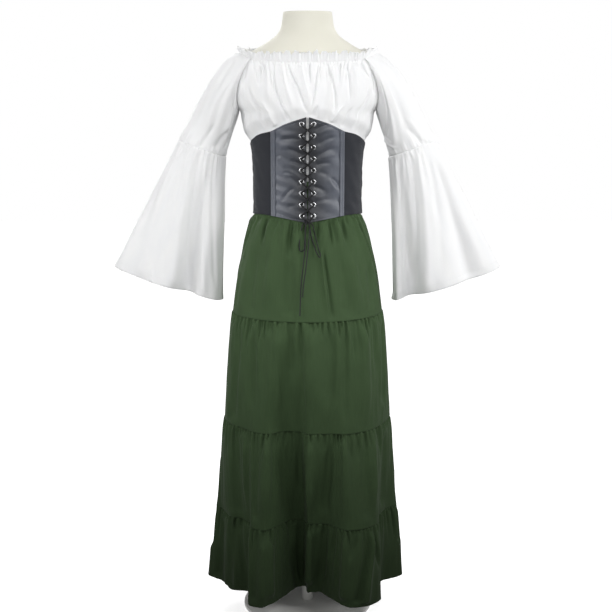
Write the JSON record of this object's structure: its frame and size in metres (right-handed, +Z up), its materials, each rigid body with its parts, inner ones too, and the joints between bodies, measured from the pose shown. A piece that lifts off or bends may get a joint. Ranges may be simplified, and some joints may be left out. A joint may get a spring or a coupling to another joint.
{
  "type": "medieval gown on a dress form",
  "caption": "Off-shoulder medieval gown: white bell-sleeved blouse, laced black waist cincher and tiered green skirt on a limbless dress form with a stand.",
  "frame": {"origin": "centre of the base plate's underside, on the floor below the pole", "axes": "+Z up along the pole, the gown's front looks along -Y, +X towards the viewer's right"},
  "size_m": [0.875, 0.362, 1.368],
  "materials": {
    "blouse_cotton": "soft white cotton gauze, matt",
    "skirt_challis": "forest green rayon challis, matt with a soft drape",
    "cincher_leather": "creased black faux leather with a soft sheen",
    "cincher_elastic": "black ribbed elastic, matt",
    "lace_cord": "black round braided cord",
    "eyelet_metal": "bright nickel",
    "form_jersey": "cream jersey over a hard form",
    "stand_paint": "white powder coat"
  },
  "bodies": {
    "root": {"bell_left": "blouse_cotton", "bell_right": "blouse_cotton", "blouse_back": "blouse_cotton", "blouse_front": "blouse_cotton", "bow_knot": "lace_cord", "bow_loop_left": "lace_cord", "bow_loop_right": "lace_cord", "bow_tail_long": "lace_cord", "bow_tail_short": "lace_cord", "edge_strip_left": "cincher_leather", "edge_strip_right": "cincher_leather", "elastic_band": "cincher_elastic", "eyelet_left_1": "eyelet_metal", "eyelet_left_2": "eyelet_metal", "eyelet_left_3": "eyelet_metal", "eyelet_left_4": "eyelet_metal", "eyelet_left_5": "eyelet_metal", "eyelet_left_6": "eyelet_metal", "eyelet_left_7": "eyelet_metal", "eyelet_left_8": "eyelet_metal", "eyelet_left_9": "eyelet_metal", "eyelet_right_1": "eyelet_metal", "eyelet_right_2": "eyelet_metal", "eyelet_right_3": "eyelet_metal", "eyelet_right_4": "eyelet_metal", "eyelet_right_5": "eyelet_metal", "eyelet_right_6": "eyelet_metal", "eyelet_right_7": "eyelet_metal", "eyelet_right_8": "eyelet_metal", "eyelet_right_9": "eyelet_metal", "form_torso": "form_jersey", "lace_left": "lace_cord", "lace_right": "lace_cord", "leather_left": "cincher_leather", "leather_right": "cincher_leather", "neck_frill": "blouse_cotton", "sleeve_left": "blouse_cotton", "sleeve_right": "blouse_cotton", "stand_base": "stand_paint", "stand_pole": "stand_paint", "tier_1_back": "skirt_challis", "tier_1_front": "skirt_challis", "tier_2_back": "skirt_challis", "tier_2_front": "skirt_challis", "tier_3_back": "skirt_challis", "tier_3_front": "skirt_challis", "tier_4_back": "skirt_challis", "tier_4_front": "skirt_challis"}
  },
  "joints": []
}
